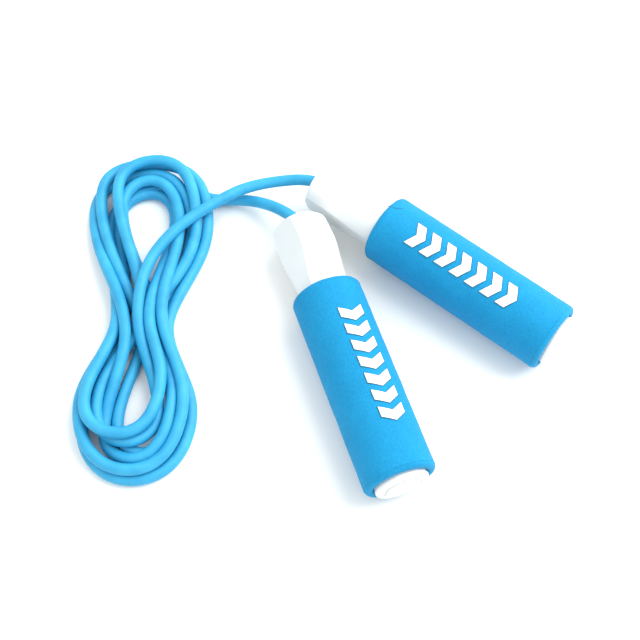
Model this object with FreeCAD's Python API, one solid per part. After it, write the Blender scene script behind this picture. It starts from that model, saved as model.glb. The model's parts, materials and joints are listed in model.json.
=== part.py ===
# A jump rope: a hank of round rope whose two ends turn in ball bearings inside
# two foam-covered handles. Everything lies on the ground plane z = 0.
# Units are millimetres. Each handle is built along its own axis, called u:
# u = 0 where the foam starts behind the head, u > 0 towards the end cap and
# u < 0 towards the nose, where the rope comes out.
import FreeCAD, Part
import math
import os

Vector = FreeCAD.Vector

# Grip and core tube
grip_radius = 18.0
grip_length = 105.0
grip_end_rounding = 2.2
foam_wall = 5.0
core_radius = grip_radius - foam_wall
core_wall = 2.2

# Head, the flared front of the core moulding
head_length = 42.0
head_widest_radius = 15.3
head_widest_u = -26.0
nose_radius = 14.3
nose_rounding = 3.2
neck_u = -8.0
head_flat_distance = 12.3
head_flat_count = 4

# Rope
rope_radius = 3.0
rope_tail_length = 19.0
rope_tail_proud = 0.6

# Ball bearing, the common 8 x 22 x 7 size
bearing_bore_radius = 4.0
bearing_outer_radius = 11.0
bearing_width = 7.0
ball_radius = 1.984
ball_count = 7
ball_pitch_radius = 7.5
groove_clearance = 0.05
inner_race_radius = 6.05
outer_race_radius = 8.95
cage_width = 5.4
cage_half_thickness = 0.5
pocket_clearance = 0.12
shield_thickness = 0.3
shield_setback = 0.15
shield_gap = 0.3

# Nose ring, washer, ferrule and rope bushing
nose_ring_thickness = 2.4
nose_ring_relief = 0.5
nose_ring_hole_radius = 6.2
press_gap = 0.02
bushing_proud = 0.4
washer_thickness = 1.0
washer_radius = 6.0
ferrule_radius = 5.0
ferrule_length = 9.0
shoulder_radius = 9.0
shoulder_length = 4.0

# End cap
cap_radius = 13.3
cap_thickness = 2.6
cap_rounding = 1.8
cap_disc_radius = 8.6
cap_disc_rise = 0.6
cap_groove_width = 0.8
cap_groove_depth = 0.5
cap_plate_inside = 1.5
spigot_length = 12.0
spigot_wall = 1.8
spigot_gap = 0.05

# Where the handles lie: start of the foam, heading of the cap and roll of the head's flats
handles = {
    "front": {"start": (-48.2, 15.5), "heading": -70.5, "roll": 51.0},
    "rear": {"start": (-18.1, 54.3), "heading": -37.8, "roll": 10.0},
}

# The hank of rope
hank_height = 17.0
hank_edge_rounding = 4.0

# Places worked out from the sizes above
nose_u = -head_length
bearing_start_u = nose_u + nose_ring_thickness
bearing_end_u = bearing_start_u + bearing_width
bearing_middle_u = (bearing_start_u + bearing_end_u) / 2
washer_end_u = bearing_end_u + washer_thickness
bushing_start_u = bearing_start_u - bushing_proud
rope_exit_u = bushing_start_u - rope_tail_proud
core_bore_radius = core_radius - core_wall


def rounded_path(points, radii, closed):
    # Straight runs joined by tangent arcs of the given radius at each point
    count = len(points)
    corners = range(count) if closed else range(1, count - 1)
    starts = {}
    ends = {}
    arcs = {}
    for i in corners:
        here = points[i]
        back = (points[i - 1] - here).normalize()
        ahead = (points[(i + 1) % count] - here).normalize()
        if radii[i] == 0:
            starts[i] = here
            ends[i] = here
            continue
        half_turn = (math.pi - back.getAngle(ahead)) / 2
        reach = radii[i] * math.tan(half_turn)
        starts[i] = here + back * reach
        ends[i] = here + ahead * reach
        inward = (back + ahead).normalize()
        middle = here + inward * (radii[i] / math.cos(half_turn) - radii[i])
        arcs[i] = Part.Arc(starts[i], middle, ends[i]).toShape()
    edges = []
    last = count if closed else count - 1
    for i in range(last):
        if i in arcs:
            edges.append(arcs[i])
        run_start = ends.get(i, points[i])
        run_end = starts.get((i + 1) % count, points[(i + 1) % count])
        if run_start.distanceToPoint(run_end) > 1e-6:
            edges.append(Part.LineSegment(run_start, run_end).toShape())
    return Part.Wire(edges)


def lathe(corners):
    # Turns a closed outline about the u axis; a corner is (u, r) or (u, r, rounding)
    points = [Vector(corner[0], corner[1], 0) for corner in corners]
    radii = [corner[2] if len(corner) > 2 else 0 for corner in corners]
    face = Part.Face(rounded_path(points, radii, True))
    return face.revolve(Vector(0, 0, 0), Vector(1, 0, 0), 360)


def ring(start, end, inner, outer, rounding=0):
    return lathe([(start, inner), (end, inner), (end, outer, rounding), (start, outer, rounding)])


def around_axis(count, radius):
    for i in range(count):
        angle = 2 * math.pi * i / count
        yield Vector(bearing_middle_u, radius * math.cos(angle), radius * math.sin(angle))


def make_core():
    # One moulding: the flared head, with the bearing pocket in its nose, and the tube
    body = lathe([
        (nose_u, bearing_outer_radius),
        (nose_u, nose_radius, nose_rounding),
        (head_widest_u, head_widest_radius, 60),
        (neck_u, core_radius + 0.2, 60),
        (0, core_radius),
        (grip_length, core_radius),
        (grip_length, core_bore_radius),
        (bearing_end_u + shoulder_length + 2, core_bore_radius),
        (bearing_end_u + shoulder_length, shoulder_radius),
        (bearing_end_u, shoulder_radius),
        (bearing_end_u, bearing_outer_radius),
    ])
    for i in range(head_flat_count):
        slab = Part.makeBox(head_length, 4 * grip_radius, grip_radius,
                            Vector(nose_u, -2 * grip_radius, head_flat_distance))
        slab.rotate(Vector(0, 0, 0), Vector(1, 0, 0), 360 * i / head_flat_count)
        body = body.cut(slab)
    return body


def make_foam():
    return lathe([
        (0, core_radius, 0.6),
        (grip_length, core_radius, 0.6),
        (grip_length, grip_radius, grip_end_rounding),
        (0, grip_radius, grip_end_rounding),
    ])


def make_cap():
    face_u = grip_length + cap_thickness
    plate_u = grip_length - cap_plate_inside
    spigot_radius = core_bore_radius - spigot_gap
    groove_end = cap_disc_radius + cap_groove_width
    return lathe([
        (plate_u, 0),
        (plate_u, spigot_radius - spigot_wall),
        (grip_length - spigot_length, spigot_radius - spigot_wall),
        (grip_length - spigot_length, spigot_radius, 0.6),
        (grip_length, spigot_radius),
        (grip_length, cap_radius, 0.4),
        (face_u, cap_radius, cap_rounding),
        (face_u, groove_end, 0.3),
        (face_u - cap_groove_depth, groove_end),
        (face_u - cap_groove_depth, cap_disc_radius),
        (face_u + cap_disc_rise, cap_disc_radius, 0.5),
        (face_u + cap_disc_rise, 0),
    ])


def make_nose_ring():
    outer = bearing_outer_radius - press_gap
    relief_u = bearing_start_u - nose_ring_relief
    return lathe([
        (nose_u, nose_ring_hole_radius, 0.6),
        (nose_u, outer, 0.3),
        (bearing_start_u, outer),
        (bearing_start_u, shoulder_radius + 0.3),
        (relief_u, shoulder_radius + 0.3),
        (relief_u, nose_ring_hole_radius),
    ])


def make_races():
    groove = Part.makeTorus(ball_pitch_radius, ball_radius + groove_clearance,
                            Vector(bearing_middle_u, 0, 0), Vector(1, 0, 0))
    outer = ring(bearing_start_u, bearing_end_u, outer_race_radius, bearing_outer_radius, 0.3)
    inner = ring(bearing_start_u, bearing_end_u, bearing_bore_radius, inner_race_radius)
    return outer.cut(groove), inner.cut(groove)


def make_balls():
    return Part.makeCompound([Part.makeSphere(ball_radius, place)
                              for place in around_axis(ball_count, ball_pitch_radius)])


def make_cage():
    cage = ring(bearing_middle_u - cage_width / 2, bearing_middle_u + cage_width / 2,
                ball_pitch_radius - cage_half_thickness, ball_pitch_radius + cage_half_thickness)
    for place in around_axis(ball_count, ball_pitch_radius):
        cage = cage.cut(Part.makeSphere(ball_radius + pocket_clearance, place))
    return cage


def make_shields():
    near = bearing_start_u + shield_setback
    far = bearing_end_u - shield_setback - shield_thickness
    hole = inner_race_radius + shield_gap
    return Part.makeCompound([ring(start, start + shield_thickness, hole, outer_race_radius)
                              for start in (near, far)])


def make_bushing():
    outer = bearing_bore_radius - press_gap
    return lathe([
        (bushing_start_u, rope_radius),
        (bushing_start_u, outer, 0.5),
        (bearing_end_u, outer),
        (bearing_end_u, rope_radius),
    ])


def make_washer():
    return ring(bearing_end_u, washer_end_u, rope_radius, washer_radius)


def make_ferrule():
    return ring(washer_end_u, washer_end_u + ferrule_length, rope_radius, ferrule_radius, 0.8)


def make_rope_tail():
    # The end of the rope inside the handle, from the exit to just past the ferrule
    return Part.makeCylinder(rope_radius, rope_tail_length, Vector(rope_exit_u, 0, 0), Vector(1, 0, 0))


def place_in_handle(shape, side):
    placed = shape.copy()
    place = handles[side]
    placed.rotate(Vector(0, 0, 0), Vector(1, 0, 0), place["roll"])
    placed.rotate(Vector(0, 0, 0), Vector(0, 0, 1), place["heading"])
    placed.translate(Vector(place["start"][0], place["start"][1], grip_radius))
    return placed


def on_axis(side, u):
    heading = math.radians(handles[side]["heading"])
    x, y = handles[side]["start"]
    return Vector(x + u * math.cos(heading), y + u * math.sin(heading), grip_radius)


def make_hank():
    # The outer shape of the loosely folded rope: two lobes, pinched at the middle
    outline = [(-142.2, 105.3), (-162.2, 99.8), (-174.2, 81.8), (-169.2, 49.8), (-157.7, 9.8), (-166.2, -20.2),
               (-174.2, -48.2), (-163.2, -72.2), (-140.2, -82.7), (-119.2, -70.2), (-111.2, -44.2), (-118.2, -15.2),
               (-125.2, 4.8), (-117.2, 31.8), (-107.2, 59.8), (-109.2, 83.8), (-123.2, 99.8)]
    upper_opening = [(-145.2, 79.8), (-150.2, 65.8), (-142.2, 43.8), (-133.2, 59.8), (-134.2, 76.8)]
    lower_opening = [(-141.2, -12.2), (-148.2, -30.2), (-147.2, -46.2), (-137.2, -44.2), (-135.2, -28.2)]
    solid = None
    for points in (outline, upper_opening, lower_opening):
        curve = Part.BSplineCurve()
        curve.interpolate(Points=[Vector(x, y, 0) for x, y in points], PeriodicFlag=True)
        block = Part.Face(Part.Wire(curve.toShape())).extrude(Vector(0, 0, hank_height))
        solid = block if solid is None else solid.cut(block)
    outer_rims = [edge for edge in solid.Edges
                  if edge.BoundBox.ZLength < 0.01 and edge.BoundBox.YLength > 100]
    return solid.makeFillet(hank_edge_rounding, outer_rims)


def make_lead(name, route, hank):
    # A free stretch of rope: straight runs joined by arcs as large as the runs allow
    points = [Vector(*point) for point in route]
    radii = [0] * len(points)
    for i in range(1, len(points) - 1):
        back = points[i - 1] - points[i]
        ahead = points[i + 1] - points[i]
        half_turn = (math.pi - back.getAngle(ahead)) / 2
        radii[i] = 0.45 * min(back.Length, ahead.Length) / math.tan(half_turn)
    path = rounded_path(points, radii, False)
    start_direction = (points[1] - points[0]).normalize()
    section = Part.Wire(Part.makeCircle(rope_radius, points[0], start_direction))
    tube = path.makePipeShell([section], True, False)
    expected = math.pi * rope_radius ** 2 * path.Length
    print(name, "arc radii", [round(radius, 1) for radius in radii[1:-1]],
          "length", round(path.Length, 1), "volume / expected", round(tube.Volume / expected, 4))
    return tube.cut(hank)


# Routes from the nose to inside the hank, which trims them at its wall
lead_routes = {
    "front": [on_axis("front", rope_exit_u), on_axis("front", rope_exit_u - 3.5), (-64.8, 59.8, 17.8),
              (-70.0, 64.6, 16.4), (-77.2, 70.7, 12.4), (-86.0, 76.6, 7.0), (-96.2, 79.4, 3.8),
              (-107.2, 77.4, 3.2), (-117.2, 72.6, 3.2)],
    "rear": [on_axis("rear", rope_exit_u), on_axis("rear", rope_exit_u - 3.5), (-56.0, 82.6, 17.8),
             (-62.8, 84.0, 16.6), (-71.7, 84.5, 14.0), (-82.2, 83.6, 12.2), (-93.7, 79.6, 11.8),
             (-105.7, 71.8, 12.8), (-117.2, 62.3, 13.4)],
}


def build():
    pieces = {}
    outer_race, inner_race = make_races()
    inside_a_handle = {
        "handle_core": make_core(),
        "foam_grip": make_foam(),
        "end_cap": make_cap(),
        "nose_ring": make_nose_ring(),
        "bearing_outer_race": outer_race,
        "bearing_shields": make_shields(),
        "bearing_balls": make_balls(),
        "bearing_cage": make_cage(),
        "bearing_inner_race": inner_race,
        "rope_bushing": make_bushing(),
        "thrust_washer": make_washer(),
        "rope_ferrule": make_ferrule(),
        "rope_tail": make_rope_tail(),
    }
    for side in handles:
        for name, shape in inside_a_handle.items():
            pieces[side + "_" + name] = place_in_handle(shape, side)
    hank = make_hank()
    pieces["rope_hank"] = hank
    for side, route in lead_routes.items():
        name = "rope_lead_" + side
        pieces[name] = make_lead(name, route, hank)
    return pieces


os.makedirs("parts", exist_ok=True)
pieces = build()
reach = FreeCAD.BoundBox()
for name, shape in pieces.items():
    shape.exportStep("parts/" + name + ".step")
    if name not in ("rope_hank", "rope_lead_front", "rope_lead_rear"):
        reach.add(shape.optimalBoundingBox(False, False))
    if not shape.isValid():
        print(name, "isn't a valid shape")
print("handles reach x", round(reach.XMin, 2), round(reach.XMax, 2), "y", round(reach.YMin, 2),
      round(reach.YMax, 2), "z", round(reach.ZMin, 2), round(reach.ZMax, 2))
print("hank volume", round(pieces["rope_hank"].Volume / 1000, 1), "cm3,", len(pieces), "nodes")
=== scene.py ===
import json
import math
import bpy
import numpy as np
from mathutils import Matrix, Vector


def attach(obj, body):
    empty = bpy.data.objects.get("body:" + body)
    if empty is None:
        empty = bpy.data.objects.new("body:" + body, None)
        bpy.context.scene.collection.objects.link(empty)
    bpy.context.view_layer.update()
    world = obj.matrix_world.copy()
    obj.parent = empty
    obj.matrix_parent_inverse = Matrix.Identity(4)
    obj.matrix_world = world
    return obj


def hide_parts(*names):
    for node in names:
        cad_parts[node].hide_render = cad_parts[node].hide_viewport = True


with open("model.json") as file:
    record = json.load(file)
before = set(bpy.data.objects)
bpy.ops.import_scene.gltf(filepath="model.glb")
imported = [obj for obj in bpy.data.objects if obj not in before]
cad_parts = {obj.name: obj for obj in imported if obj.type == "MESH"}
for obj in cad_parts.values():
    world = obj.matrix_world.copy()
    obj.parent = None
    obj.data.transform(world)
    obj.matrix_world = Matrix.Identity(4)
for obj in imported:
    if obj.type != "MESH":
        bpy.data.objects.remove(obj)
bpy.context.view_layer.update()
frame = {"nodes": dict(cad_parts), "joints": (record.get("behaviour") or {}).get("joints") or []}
print("frame loaded with", len(frame["nodes"]), "nodes")

sides = ("front", "rear")
joints = {joint["name"]: joint for joint in frame["joints"]}


def clearSelection():
    if bpy.context.object and bpy.context.object.mode != "OBJECT":
        bpy.ops.object.mode_set(mode="OBJECT")
    bpy.ops.object.select_all(action="DESELECT")


def nameIt(piece, name):
    piece.name = name
    piece.data.name = name
    return piece


def pickOnly(piece):
    clearSelection()
    piece.select_set(True)
    bpy.context.view_layer.objects.active = piece


def pickEdges(piece, test):
    # Ends in edit mode, with the edges whose two ends pass the test selected
    bpy.ops.object.mode_set(mode="EDIT")
    bpy.ops.mesh.select_mode(type="EDGE")
    bpy.ops.mesh.select_all(action="DESELECT")
    bpy.ops.object.mode_set(mode="OBJECT")
    points = piece.data.vertices
    for edge in piece.data.edges:
        edge.select = test(points[edge.vertices[0]].co, points[edge.vertices[1]].co)
    bpy.ops.object.mode_set(mode="EDIT")


def handlePlace(side):
    # Takes a shape built upright, head end at 0 and cap up the Z axis, to where the handle lies
    spin = joints[side + "_handle_spin"]
    along = Vector(spin["axis"]).normalized()
    up = Vector((0, 0, 1))
    across = along.cross(up)
    turn = Matrix((up, across, along)).transposed().to_4x4()
    return Matrix.Translation(Vector(spin["pos_m"])) @ turn


def newMaterial(name):
    material = bpy.data.materials.new(name)
    material.use_nodes = True
    nodes = material.node_tree.nodes
    return material, nodes, material.node_tree.links, nodes["Principled BSDF"]


def addNoise(nodes, links, scale, detail, roughness=0.5):
    place = nodes.new("ShaderNodeTexCoord")
    noise = nodes.new("ShaderNodeTexNoise")
    noise.inputs["Scale"].default_value = scale
    noise.inputs["Detail"].default_value = detail
    noise.inputs["Roughness"].default_value = roughness
    links.new(place.outputs["Object"], noise.inputs["Vector"])
    return noise.outputs["Fac"]


def addRamp(nodes, links, factor, stops):
    ramp = nodes.new("ShaderNodeValToRGB")
    for element, (place, colour) in zip(ramp.color_ramp.elements, stops):
        element.position = place
        element.color = (*colour, 1)
    links.new(factor, ramp.inputs["Fac"])
    return ramp.outputs["Color"]


def addRange(nodes, links, factor, low, high):
    spread = nodes.new("ShaderNodeMapRange")
    spread.inputs["To Min"].default_value = low
    spread.inputs["To Max"].default_value = high
    links.new(factor, spread.inputs["Value"])
    return spread.outputs["Result"]


def addBump(nodes, links, height, strength, distance, before=None):
    bump = nodes.new("ShaderNodeBump")
    bump.inputs["Strength"].default_value = strength
    bump.inputs["Distance"].default_value = distance
    links.new(height, bump.inputs["Height"])
    if before:
        links.new(before, bump.inputs["Normal"])
    return bump.outputs["Normal"]


# Noises are (scale, detail, roughness), stops are two places on the noise with their colours,
# and each bump is a noise, a strength and a depth in metres
inkCoat = {
    "cloud": (900.0, 4.0, 0.6),
    "roughness": (0.50, 0.66), "shine": (900.0, 4.0, 0.6),
    "bumps": [((1500.0, 3.0), 0.15, 0.0002)],
    "sockets": {},
}
smallMetal = {
    "cloud": (500.0, 4.0),
    "shine": (1200.0, 3.0),
    "sockets": {"Metallic": 1.0},
}
finishes = {
    # Soft extruded plastic, faintly cloudy, with the slight ripple that extrusion leaves
    "ropePlastic": {
        "cloud": (90.0, 3.0), "stops": [(0.3, (0.013, 0.298, 0.555)), (0.7, (0.032, 0.385, 0.650))],
        "roughness": (0.52, 0.62), "shine": (420.0, 5.0),
        "bumps": [((260.0, 2.0), 0.12, 0.0006), ((2600.0, 3.0), 0.10, 0.0001)],
        "sockets": {"Subsurface Weight": 0.12, "Subsurface Radius": (0.0006, 0.0012, 0.0020),
                    "Subsurface Scale": 1.0},
    },
    # Moulded handle plastic, satin
    "whitePlastic": {
        "cloud": (40.0, 3.0), "stops": [(0.25, (0.71, 0.74, 0.75)), (0.6, (0.76, 0.78, 0.78))],
        "roughness": (0.26, 0.36), "shine": (300.0, 5.0),
        "bumps": [((1800.0, 3.0), 0.06, 0.0001)],
        "sockets": {"Subsurface Weight": 0.08, "Subsurface Radius": (0.003, 0.003, 0.003),
                    "Subsurface Scale": 1.0},
    },
    # Flat inks that let a little of the foam grain through; foamShadow is no ink but the painted shade
    # inside the slit in the rear foam
    "whiteInk": {**inkCoat, "stops": [(0.25, (0.78, 0.83, 0.87)), (0.5, (0.88, 0.89, 0.90))]},
    "greyInk": {**inkCoat, "stops": [(0.25, (0.006, 0.075, 0.13)), (0.5, (0.014, 0.105, 0.17))]},
    "foamShadow": {**inkCoat, "stops": [(0.25, (0.002, 0.09, 0.22)), (0.5, (0.004, 0.13, 0.28))]},
    # Small turned or stamped metal parts, with fine tool lines
    "bearingSteel": {
        **smallMetal, "stops": [(0.3, (0.50, 0.51, 0.53)), (0.7, (0.62, 0.63, 0.65))],
        "roughness": (0.16, 0.28), "bumps": [((2500.0, 2.0), 0.10, 0.0001)],
    },
    "cageBrass": {
        **smallMetal, "stops": [(0.3, (0.62, 0.42, 0.16)), (0.7, (0.72, 0.50, 0.22))],
        "roughness": (0.28, 0.40), "bumps": [((1800.0, 2.0), 0.10, 0.0001)],
    },
    "ferruleMetal": {
        **smallMetal, "stops": [(0.3, (0.46, 0.47, 0.48)), (0.7, (0.58, 0.59, 0.60))],
        "roughness": (0.30, 0.45), "bumps": [((1500.0, 2.0), 0.10, 0.0001)],
    },
    "bushingPlastic": {
        "cloud": (200.0, 3.0), "stops": [(0.3, (0.52, 0.54, 0.56)), (0.7, (0.62, 0.64, 0.66))],
        "roughness": (0.35, 0.48), "shine": (200.0, 3.0),
        "bumps": [((1600.0, 2.0), 0.08, 0.0001)],
        "sockets": {},
    },
}


def makeFinish(name):
    look = finishes[name]
    material, nodes, links, skin = newMaterial(name)
    cloud = addNoise(nodes, links, *look["cloud"])
    links.new(addRamp(nodes, links, cloud, look["stops"]), skin.inputs["Base Color"])
    shine = addNoise(nodes, links, *look["shine"])
    links.new(addRange(nodes, links, shine, *look["roughness"]), skin.inputs["Roughness"])
    normal = None
    for noise, strength, depth in look["bumps"]:
        normal = addBump(nodes, links, addNoise(nodes, links, *noise), strength, depth, normal)
    links.new(normal, skin.inputs["Normal"])
    for socket, value in look["sockets"].items():
        skin.inputs[socket].default_value = value
    return material


# Closed-cell foam rubber: matt, with a fine skin of cells
foamFinish = {
    "cloud": (60.0, 5.0, 0.6),
    "mottle": (1100.0, 4.0, 0.7),
    "mottleShare": 0.72,
    "stops": [(0.34, (0.001, 0.215, 0.465)), (0.66, (0.006, 0.310, 0.600))],
    "roughness": (0.74, 0.90),
    "cellScale": 2400.0,
    "cellBump": (0.50, 0.0003),
    "grain": (900.0, 4.0, 0.6),
    "grainBump": (0.45, 0.0005),
    "sockets": {"Specular IOR Level": 0.30, "Sheen Weight": 0.04, "Sheen Roughness": 0.5,
                "Sheen Tint": (0.55, 0.85, 1.0, 1)},
}


def makeFoamMaterial():
    material, nodes, links, skin = newMaterial("foamRubber")
    place = nodes.new("ShaderNodeTexCoord")
    cells = nodes.new("ShaderNodeTexVoronoi")
    cells.inputs["Scale"].default_value = foamFinish["cellScale"]
    links.new(place.outputs["Object"], cells.inputs["Vector"])
    mottle = addNoise(nodes, links, *foamFinish["mottle"])
    blend = nodes.new("ShaderNodeMix")
    blend.data_type = "FLOAT"
    blend.inputs["Factor"].default_value = foamFinish["mottleShare"]
    links.new(addNoise(nodes, links, *foamFinish["cloud"]), blend.inputs["A"])
    links.new(mottle, blend.inputs["B"])
    colour = addRamp(nodes, links, blend.outputs["Result"], foamFinish["stops"])
    links.new(colour, skin.inputs["Base Color"])
    links.new(addRange(nodes, links, mottle, *foamFinish["roughness"]), skin.inputs["Roughness"])
    pit = addBump(nodes, links, cells.outputs["Distance"], *foamFinish["cellBump"])
    grain = addNoise(nodes, links, *foamFinish["grain"])
    links.new(addBump(nodes, links, grain, *foamFinish["grainBump"], pit), skin.inputs["Normal"])
    for socket, value in foamFinish["sockets"].items():
        skin.inputs[socket].default_value = value
    return material


ropePlastic = makeFinish("ropePlastic")
foamRubber = makeFoamMaterial()
whitePlastic = makeFinish("whitePlastic")
whiteInk = makeFinish("whiteInk")
greyInk = makeFinish("greyInk")
foamShadow = makeFinish("foamShadow")
bearingSteel = makeFinish("bearingSteel")
cageBrass = makeFinish("cageBrass")
ferruleMetal = makeFinish("ferruleMetal")
bushingPlastic = makeFinish("bushingPlastic")

nodeFinishes = {
    "handle_core": whitePlastic, "end_cap": whitePlastic, "nose_ring": whitePlastic,
    "foam_grip": foamRubber, "rope_tail": ropePlastic, "rope_hank": ropePlastic,
    "bearing_outer_race": bearingSteel, "bearing_inner_race": bearingSteel,
    "bearing_balls": bearingSteel, "bearing_shields": bearingSteel, "bearing_cage": cageBrass,
    "rope_bushing": bushingPlastic, "thrust_washer": bushingPlastic, "rope_ferrule": ferruleMetal,
}
for name, node in frame["nodes"].items():
    for ending, material in nodeFinishes.items():
        if name.endswith(ending):
            node.data.materials.clear()
            node.data.materials.append(material)
print("finishes set")


rope = {
    "diameter": 0.006,
    "limbPoints": 9,      # points up one side of a fold
    "tipPoints": 15,      # points round its end
    "layerRise": 0.0032,  # first guess at how much each layer stands above the last
    "settleRounds": 6,
    "settleSteps": 100,
    "weight": 0.00003,    # how far a free point drops at each step
    "planHold": 0.95,     # how much of a sideways shift is kept at each step
    "sideways": 0.7,
    "nearby": 1.6,        # diameters within which strands are looked at as neighbours
    "ownStretch": 3.0,    # diameters along the rope that never count as touching
    "crossingCosine": 0.99,
    "crossingRise": 0.5,  # layers between two strands that cross
    "crossingStep": 0.002,
    "pushShare": 1.5,
    "easeSteps": 3,       # smoothing passes after the last contact
    "length": 2.40,
    "stepsAlong": 3,
    "stepsRound": 6,
}

# Where the rope passes the waist: x, y, how slantwise it crosses (0 to 1), layer
waists = {
    "outerLeft": (-0.1520, 0.005, 0.1, 3.0),
    "rightTop": (-0.1369, 0.005, 0.2, 5.5),
    "leftHidden": (-0.1490, 0.005, 0.3, 2.0),
    "rightUpper": (-0.1322, 0.008, 0.2, 4.6),
    "slantMiddle": (-0.1345, 0.005, 0.3, 1.5),
    "leftMiddle": (-0.1385, 0.005, 0.0, 2.5),
    "backSlantHigh": (-0.1425, 0.005, 1.0, 3.2),
    "rightEdge": (-0.1310, 0.003, 0.15, 2.6),
    "slantLeft": (-0.1415, 0.005, 1.0, 1.8),
    "leftTop": (-0.1468, -0.003, 0.1, 5.2),
    "backSlantLow": (-0.1390, 0.005, 1.0, 3.6),
    "leadTop": (-0.1436, 0.005, 0.3, 6.0),
}

# Each fold: left and right edge, height where each is widest, height of its tip,
# roundness (1 is an ellipse, less is squarer), layer, and the side that it starts on
folds = {
    "low1": (-0.1662, -0.1283, -0.040, -0.029, -0.0585, 0.93, 6.0, "left"),
    "high2": (-0.1598, -0.1272, 0.069, 0.066, 0.0856, 1.00, 3.0, "right"),
    "low4": (-0.1692, -0.1180, -0.042, -0.040, -0.0750, 0.93, 3.0, "left"),
    "high0": (-0.1572, -0.1244, 0.071, 0.060, 0.0897, 0.95, 4.0, "right"),
    "low3b": (-0.1508, -0.1222, -0.048, -0.048, -0.0650, 0.98, 2.0, "right"),
    "high5": (-0.1684, -0.1092, 0.081, 0.060, 0.1003, 0.84, 5.0, "right"),
    "low3": (-0.1568, -0.1225, -0.052, -0.036, -0.0688, 0.92, 4.0, "right"),
    "high1": (-0.1716, -0.1184, 0.074, 0.062, 0.0955, 0.92, 2.0, "left"),
    "low5": (-0.1688, -0.1132, -0.046, -0.044, -0.0786, 0.93, 1.0, "left"),
    "high6": (-0.1586, -0.1152, 0.082, 0.058, 0.1000, 0.86, 6.0, "left"),
    "low2": (-0.1608, -0.1296, -0.040, -0.044, -0.0604, 0.93, 5.0, "left"),
}
foldOrder = ["outerLeft", "low1", "rightTop", "high2", "leftHidden", "low4", "rightUpper", "high0",
             "slantMiddle", "low3b", "leftMiddle", "high6", "backSlantHigh", "low5", "rightEdge",
             "high5", "slantLeft", "low3", "leftTop", "high1", "backSlantLow", "low2", "leadTop"]

# From each handle's nose to the hank, held at these heights
frontLead = [
    (-0.06175, 0.05377, 0.0180), (-0.06292, 0.05707, 0.0180), (-0.0648, 0.0598, 0.0178),
    (-0.0700, 0.0646, 0.0164), (-0.0772, 0.0707, 0.0124), (-0.0860, 0.0766, 0.0070),
    (-0.0962, 0.0794, 0.0038), (-0.1072, 0.0794, 0.0032),
]
rearLead = [
    (-0.05018, 0.07918, 0.0180), (-0.05295, 0.08133, 0.0180), (-0.0560, 0.0826, 0.0178),
    (-0.0628, 0.0840, 0.0166), (-0.0717, 0.0845, 0.0143), (-0.0822, 0.0836, 0.0130),
    (-0.0937, 0.0796, 0.0134),
]
# The half fold that the front lead makes, and the stretch on top that leads to the rear handle
underFold = [(-0.1180, 0.0842), (-0.1310, 0.0900), (-0.1450, 0.0898), (-0.1558, 0.0838)]
underLimb = (-0.1608, 0.1, 0.0715, 1.0)
overLead = [(-0.1442, 0.0185), (-0.1424, 0.0270), (-0.1400, 0.0346), (-0.1364, 0.0425),
            (-0.1306, 0.0511), (-0.1227, 0.0595), (-0.1147, 0.0649), (-0.1057, 0.0718)]
overLayer = 7.0


def easeOut(share, slant):
    return (1 - slant) * share * share * (3 - 2 * share) + slant * math.sin(share * math.pi / 2)


def limbPoint(waist, sideX, wideY, share, layer):
    waistX, waistY, slant, waistLayer = waist
    x = waistX + (sideX - waistX) * easeOut(share, slant)
    y = waistY + (wideY - waistY) * share
    return (x, y, waistLayer + (layer - waistLayer) * easeOut(share, 0.3))


def foldPoints(entry, fold, leave):
    # From the waist up the first limb, round the tip and back
    leftX, rightX, leftY, rightY, tipY, roundness, layer, side = fold
    startX, startY, endX, endY = (leftX, leftY, rightX, rightY)
    if side == "right":
        startX, startY, endX, endY = (rightX, rightY, leftX, leftY)
    points = []
    count = rope["limbPoints"]
    for i in range(count):
        points.append(limbPoint(waists[entry], startX, startY, i / count, layer))
    middleX = (startX + endX) / 2
    for i in range(rope["tipPoints"]):
        turn = math.pi * i / (rope["tipPoints"] - 1)
        reach = math.copysign(abs(math.cos(turn)) ** roundness, math.cos(turn))
        rise = abs(math.sin(turn)) ** roundness
        baseY = startY + (endY - startY) * (1 - reach) / 2
        points.append((middleX + (startX - middleX) * reach, baseY + (tipY - baseY) * rise, layer))
    for i in range(count - 1, 0, -1):
        points.append(limbPoint(waists[leave], endX, endY, i / count, layer))
    return points


def routePoints():
    # Every point as (x, y, layer), with the held heights beside them
    line, held = [], []

    def add(x, y, layer, z=None):
        line.append((x, y, layer))
        held.append(z)

    for x, y, z in frontLead:
        add(x, y, 1.0, z)
    for x, y in underFold:
        add(x, y, 1.0)
    sideX, slant, sideY, layer = underLimb
    for i in range(rope["limbPoints"], 0, -1):
        add(*limbPoint(waists[foldOrder[0]], sideX, sideY, i / rope["limbPoints"], layer))
    for i in range(1, len(foldOrder) - 1, 2):
        for point in foldPoints(foldOrder[i - 1], folds[foldOrder[i]], foldOrder[i + 1]):
            add(*point)
    waistX, waistY, _, waistLayer = waists[foldOrder[-1]]
    add(waistX, waistY, waistLayer)
    for x, y in overLead:
        add(x, y, overLayer)
    for x, y, z in reversed(rearLead):
        add(x, y, overLayer, z)
    return np.array(line), held


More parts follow.
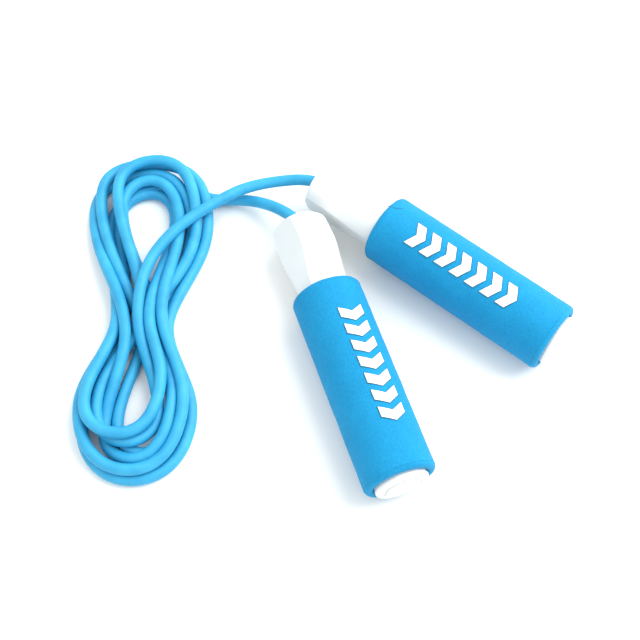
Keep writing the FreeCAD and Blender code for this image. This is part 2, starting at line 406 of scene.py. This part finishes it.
def findNeighbours(place, layers):
    # Pairs of a point and a stretch near enough to touch, and which of the two is over
    reach = rope["nearby"] * rope["diameter"]
    ownStretch = rope["ownStretch"] * rope["diameter"]
    plan = place[:, :2]
    start, step = plan[:-1], plan[1:] - plan[:-1]
    along = np.cumsum(np.r_[0, np.linalg.norm(step, axis=1)])
    heading = np.gradient(plan, axis=0)
    heading /= np.linalg.norm(heading, axis=1)[:, None]
    pairs = []
    for i in range(len(plan)):
        share = np.clip(((plan[i] - start) * step).sum(1) / (step * step).sum(1), 0, 1)
        apart = np.linalg.norm(plan[i] - start - step * share[:, None], axis=1)
        far = np.abs(along[:-1] + share * (along[1:] - along[:-1]) - along[i]) > ownStretch
        for j in np.nonzero((apart < reach) & far)[0]:
            rise = layers[i] - (layers[j] + (layers[j + 1] - layers[j]) * share[j])
            slantwise = abs(heading[i] @ heading[j]) < rope["crossingCosine"]
            crossing = slantwise and abs(rise) > rope["crossingRise"]
            pairs.append((i, j, math.copysign(1, rise) if crossing else 0))
    return [np.array(column) for column in zip(*pairs)]


def settleRope(line, held):
    # Lets the rope down on the floor and on itself, keeping which strand lies over which
    diameter = rope["diameter"]
    plan, layers = line[:, :2], line[:, 2]
    place = np.column_stack((plan, diameter / 2 + (layers - 1) * rope["layerRise"]))
    free = np.array([z is None for z in held])
    place[~free, 2] = [z for z in held if z is not None]
    anchored = place.copy()
    for settle in range(rope["settleRounds"]):
        point, segment, order = findNeighbours(place, layers)
        for step in range(rope["settleSteps"]):
            # The line stays smooth, and drifts back towards its plan
            shift = place - anchored
            shift[1:-1, :2] = shift[1:-1, :2] / 2 + (shift[:-2, :2] + shift[2:, :2]) / 4
            shift[:, :2] *= rope["planHold"]
            smooth = place.copy()
            smooth[:, :2] = anchored[:, :2] + shift[:, :2]
            smooth[1:-1, 2] = place[1:-1, 2] / 2 + (place[:-2, 2] + place[2:, 2]) / 4
            smooth[:, 2] -= rope["weight"]
            # Strands that touch push each other apart
            first, last = smooth[segment], smooth[segment + 1]
            run = last - first
            share = np.clip(((smooth[point] - first) * run).sum(1) / (run * run).sum(1), 0, 1)[:, None]
            apart = smooth[point] - first - run * share
            distance = np.linalg.norm(apart, axis=1)[:, None]
            push = apart / np.maximum(distance, 1e-6) * np.maximum(diameter - distance, 0) / 2
            wrong = order * apart[:, 2] < 0
            gap = np.sqrt(np.maximum(diameter ** 2 - (apart[wrong, :2] ** 2).sum(1), 0))
            lift = np.minimum(gap - order[wrong] * apart[wrong, 2], rope["crossingStep"]) * (gap > 0) / 2
            push[wrong] = np.column_stack((0 * lift, 0 * lift, order[wrong] * lift))
            push[:, :2] *= rope["sideways"]
            moved = np.zeros_like(smooth)
            count = np.zeros(len(smooth))
            touching = (push != 0).any(axis=1)
            for index, amount in ((point, push), (segment, -push * (1 - share)),
                                  (segment + 1, -push * share)):
                np.add.at(moved, index[touching], amount[touching])
                np.add.at(count, index[touching], np.abs(amount[touching]).sum(1) > 0)
            smooth += moved / np.maximum(count, 1)[:, None] * rope["pushShare"]
            smooth[:, 2] = np.maximum(smooth[:, 2], diameter / 2)
            place = np.where(free[:, None], smooth, place)
    for step in range(rope["easeSteps"]):
        smooth = place.copy()
        smooth[1:-1] = place[1:-1] / 2 + (place[:-2] + place[2:]) / 4
        place = np.where(free[:, None], smooth, place)
    return place


def makeRope():
    line, held = routePoints()
    settled = settleRope(line, held)
    data = bpy.data.curves.new("jumpRope", "CURVE")
    data.dimensions = "3D"
    spline = data.splines.new("NURBS")
    spline.points.add(len(settled) - 1)
    for point, (x, y, z) in zip(spline.points, settled):
        point.co = (x, y, max(z, rope["diameter"] / 2), 1)
    spline.order_u = 3
    spline.use_endpoint_u = True
    spline.resolution_u = rope["stepsAlong"]
    data.bevel_depth = rope["diameter"] / 2
    data.bevel_resolution = rope["stepsRound"]
    data.use_fill_caps = True
    piece = bpy.data.objects.new("jumpRope", data)
    bpy.context.scene.collection.objects.link(piece)
    data.materials.append(ropePlastic)
    length = spline.calc_length()
    print(f"rope: {len(line)} points, {length:.3f} m long, highest centre {settled[:, 2].max():.4f} m")
    return piece


jumpRope = makeRope()
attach(jumpRope, "rope")
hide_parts("rope_hank", "rope_lead_front", "rope_lead_rear")


foamGrip = {
    "radius": 0.018,
    "length": 0.105,
    "coreRadius": 0.01305,
    "rimRound": 0.0026,
    "rimSteps": 4,
    "around": 96,
    "lengthCuts": 52,
    "insideDepth": 0.006,   # how far the wall goes in along the core
    "uneven": 0.00035,      # height of the slight waves in the skin
    "unevenSize": 0.009,
    "unevenDepth": 3,
    "unevenMiddle": 0.6,
    "touch": 1e-5,
}


def extrudePicked(shift=(0, 0, 0), scale=None):
    bpy.ops.mesh.extrude_region_move(TRANSFORM_OT_translate={"value": shift})
    if scale:
        bpy.ops.transform.resize(value=scale)


def makeFoamGrip(side):
    # A foam tube pushed on the handle, with soft rims and a slightly uneven skin
    radius, length, touch = foamGrip["radius"], foamGrip["length"], foamGrip["touch"]
    clearSelection()
    bpy.ops.mesh.primitive_cylinder_add(vertices=foamGrip["around"], radius=radius, depth=length,
                                        end_fill_type="NOTHING")
    piece = nameIt(bpy.context.object, side + "_foam_sleeve")
    half = length / 2
    pickEdges(piece, lambda a, b: abs(a.z - b.z) > half)
    bpy.ops.mesh.subdivide(number_cuts=foamGrip["lengthCuts"])
    inwards = foamGrip["coreRadius"] / radius
    for end in (-1, 1):
        pickEdges(piece, lambda a, b: min(end * a.z, end * b.z) > half - touch)
        extrudePicked(scale=(inwards, inwards, 1))
        extrudePicked(shift=(0, 0, -end * foamGrip["insideDepth"]))
    pickEdges(piece, lambda a, b: min(abs(a.z), abs(b.z)) > half - touch
              and min(a.xy.length, b.xy.length) > radius - 10 * touch)
    bpy.ops.mesh.bevel(offset=foamGrip["rimRound"], segments=foamGrip["rimSteps"], affect="EDGES")
    bpy.ops.mesh.select_all(action="SELECT")
    bpy.ops.mesh.normals_make_consistent(inside=False)
    bpy.ops.object.mode_set(mode="OBJECT")
    soften = piece.modifiers.new("soften", "SUBSURF")
    soften.levels = soften.render_levels = 1
    skin = bpy.data.textures.new(side + "FoamSkin", "CLOUDS")
    skin.noise_scale = foamGrip["unevenSize"]
    skin.noise_depth = foamGrip["unevenDepth"]
    wave = piece.modifiers.new("uneven", "DISPLACE")
    wave.texture = skin
    wave.strength = foamGrip["uneven"]
    wave.mid_level = foamGrip["unevenMiddle"]
    pickOnly(piece)
    bpy.ops.object.modifier_apply(modifier="soften")
    bpy.ops.object.modifier_apply(modifier="uneven")
    bpy.ops.object.shade_smooth()
    piece.data.transform(handlePlace(side) @ Matrix.Translation((0, 0, half)))
    piece.data.materials.append(foamRubber)
    return piece


for side in sides:
    sleeve = makeFoamGrip(side)
    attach(sleeve, side + "_handle")
    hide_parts(side + "_foam_grip")
print("foam grips made")


gripPrint = {
    "start": 0.0182,        # from the head end of the foam
    "pitch": 0.00905,
    "count": 7,
    "stroke": 0.0052,
    "lean": 0.0034,         # how far the point of a chevron runs ahead
    "width": 0.0126,
    "outline": 0.00032,     # how far the grey undercoat shows round the white
    "undercoatLift": 0.00010,
    "inkLift": 0.00020,
    "thickness": 0.00014,
    "centre": {"front": -19.0, "rear": 9.5},    # degrees round the grip from its top
    "stepsAlong": 6,
    "stepsRound": 20,
    "edgeAngle": 40.0,
}


def makePrint(side, ending, grow, lift, ink):
    # A row of plain chevrons wrapped on the foam
    stroke = gripPrint["stroke"] + 2 * grow
    width = gripPrint["width"] + 2 * grow
    radius = foamGrip["radius"] + lift
    marks = []
    for k in range(gripPrint["count"]):
        clearSelection()
        bpy.ops.mesh.primitive_grid_add(x_subdivisions=gripPrint["stepsAlong"],
                                        y_subdivisions=gripPrint["stepsRound"], size=1)
        mark = bpy.context.object
        for point in mark.data.vertices:
            ahead = (point.co.x + 0.5) * stroke + gripPrint["lean"] * (1 - abs(point.co.y) * 2)
            aside = point.co.y * width
            place = gripPrint["start"] - grow + k * gripPrint["pitch"] + ahead
            turn = math.radians(gripPrint["centre"][side]) + aside / radius
            point.co = (radius * math.cos(turn), radius * math.sin(turn), place)
        marks.append(mark)
    clearSelection()
    for mark in marks:
        mark.select_set(True)
    bpy.context.view_layer.objects.active = marks[0]
    bpy.ops.object.join()
    piece = nameIt(bpy.context.object, side + ending)
    bpy.ops.object.mode_set(mode="EDIT")
    bpy.ops.mesh.select_all(action="SELECT")
    bpy.ops.mesh.normals_make_consistent(inside=False)
    bpy.ops.object.mode_set(mode="OBJECT")
    middle = piece.data.polygons[len(piece.data.polygons) // 2]
    if middle.normal.dot(Vector((middle.center.x, middle.center.y, 0))) < 0:
        piece.data.flip_normals()
    coat = piece.modifiers.new("coat", "SOLIDIFY")
    coat.thickness = gripPrint["thickness"]
    coat.offset = 1
    pickOnly(piece)
    bpy.ops.object.modifier_apply(modifier="coat")
    bpy.ops.object.shade_smooth_by_angle(angle=math.radians(gripPrint["edgeAngle"]))
    piece.data.transform(handlePlace(side))
    piece.data.materials.append(ink)
    return piece


coats = {
    "_print_undercoat": (gripPrint["outline"], gripPrint["undercoatLift"], greyInk),
    "_grip_print": (0, gripPrint["inkLift"], whiteInk),
}
for side in sides:
    for ending, coat in coats.items():
        mark = makePrint(side, ending, *coat)
        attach(mark, side + "_handle")
print("prints made")


# A short cut in the rear foam's rim, shown only as a thin dark line of painted shade on the skin:
# distance from the head end, and degrees from the top
foamCutShade = {
    "path": [(0.0002, -9.3), (0.0022, -9.0), (0.0043, -11.0), (0.0059, -14.7), (0.0073, -20.0)],
    "width": 0.00042,
}


def makeFoamCutShade():
    # A thin dark tube laid on the foam skin stands in for the shade inside the slit: painted shade, not
    # a cut into the foam
    data = bpy.data.curves.new("foamCutShade", "CURVE")
    data.dimensions = "3D"
    spline = data.splines.new("NURBS")
    spline.points.add(len(foamCutShade["path"]) - 1)
    for point, (along, turn) in zip(spline.points, foamCutShade["path"]):
        rim = max(foamGrip["rimRound"] - along, 0)
        radius = foamGrip["radius"] - rim * rim / foamGrip["rimRound"] * 0.5
        angle = math.radians(turn)
        point.co = (radius * math.cos(angle), radius * math.sin(angle), along, 1)
    spline.order_u = 4
    spline.use_endpoint_u = True
    data.bevel_depth = foamCutShade["width"] / 2
    data.use_fill_caps = True
    line = bpy.data.objects.new("rear_foam_cut_painted_shade", data)
    bpy.context.scene.collection.objects.link(line)
    pickOnly(line)
    bpy.ops.object.convert(target="MESH")
    piece = nameIt(bpy.context.object, "rear_foam_cut_painted_shade")
    bpy.ops.object.shade_smooth()
    piece.data.transform(handlePlace("rear"))
    # Painted shade: the dark foamShadow colour takes the place of the shade inside the slit
    piece.data.materials.append(foamShadow)
    return piece


cutShadeLine = makeFoamCutShade()
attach(cutShadeLine, "rear_handle")


studio = {
    "cameraPlace": (-0.0509, -0.2511, 0.5339),
    "cameraTilt": 26.0,
    "lens": 65.0,
    "sensor": 36.0,
    "nearest": 0.01,
    "floorColour": (0.95, 0.94, 0.92, 1),
    "floorNoise": (30.0, 4.0),
    "floorRoughness": (0.55, 0.65),
    "floorSize": 8,
    "air": (0.97, 1.0, 0.99, 1),
    "airStrength": 1.10,
    "aim": (-0.05, 0, 0),
    # place, size across, watts, colour
    "keyLight": ((0.75, 0.42, 1.00), 1.50, 24.0, (1.0, 1.0, 0.99)),
    "fillLight": ((-0.7, -0.9, 0.9), 1.2, 1.5, (0.97, 1.0, 1.0)),
}


def makeFloor():
    material, nodes, links, skin = newMaterial("paleFloor")
    skin.inputs["Base Color"].default_value = studio["floorColour"]
    cloud = addNoise(nodes, links, *studio["floorNoise"])
    links.new(addRange(nodes, links, cloud, *studio["floorRoughness"]), skin.inputs["Roughness"])
    clearSelection()
    bpy.ops.mesh.primitive_plane_add(size=studio["floorSize"], location=(0, 0, 0))
    floor = nameIt(bpy.context.object, "floor")
    floor.data.materials.append(material)


def addLight(name):
    place, size, power, colour = studio[name]
    data = bpy.data.lights.new(name, "AREA")
    data.shape = "DISK"
    data.size = size
    data.energy = power
    data.color = colour
    light = bpy.data.objects.new(name, data)
    bpy.context.scene.collection.objects.link(light)
    light.location = place
    ray = Vector(studio["aim"]) - Vector(place)
    light.rotation_euler = ray.to_track_quat("-Z", "Y").to_euler()


def makeStudio():
    addLight("keyLight")
    addLight("fillLight")
    world = bpy.data.worlds.new("studioAir")
    world.use_nodes = True
    air = world.node_tree.nodes["Background"]
    air.inputs["Color"].default_value = studio["air"]
    air.inputs["Strength"].default_value = studio["airStrength"]
    bpy.context.scene.world = world
    data = bpy.data.cameras.new("camera")
    data.lens = studio["lens"]
    data.sensor_width = studio["sensor"]
    data.clip_start = studio["nearest"]
    camera = bpy.data.objects.new("camera", data)
    camera.location = studio["cameraPlace"]
    camera.rotation_euler = (math.radians(studio["cameraTilt"]), 0, 0)
    bpy.context.scene.collection.objects.link(camera)
    bpy.context.scene.camera = camera
    bpy.context.scene.view_settings.view_transform = "Standard"


makeFloor()
makeStudio()
print("floor, lights and camera placed")
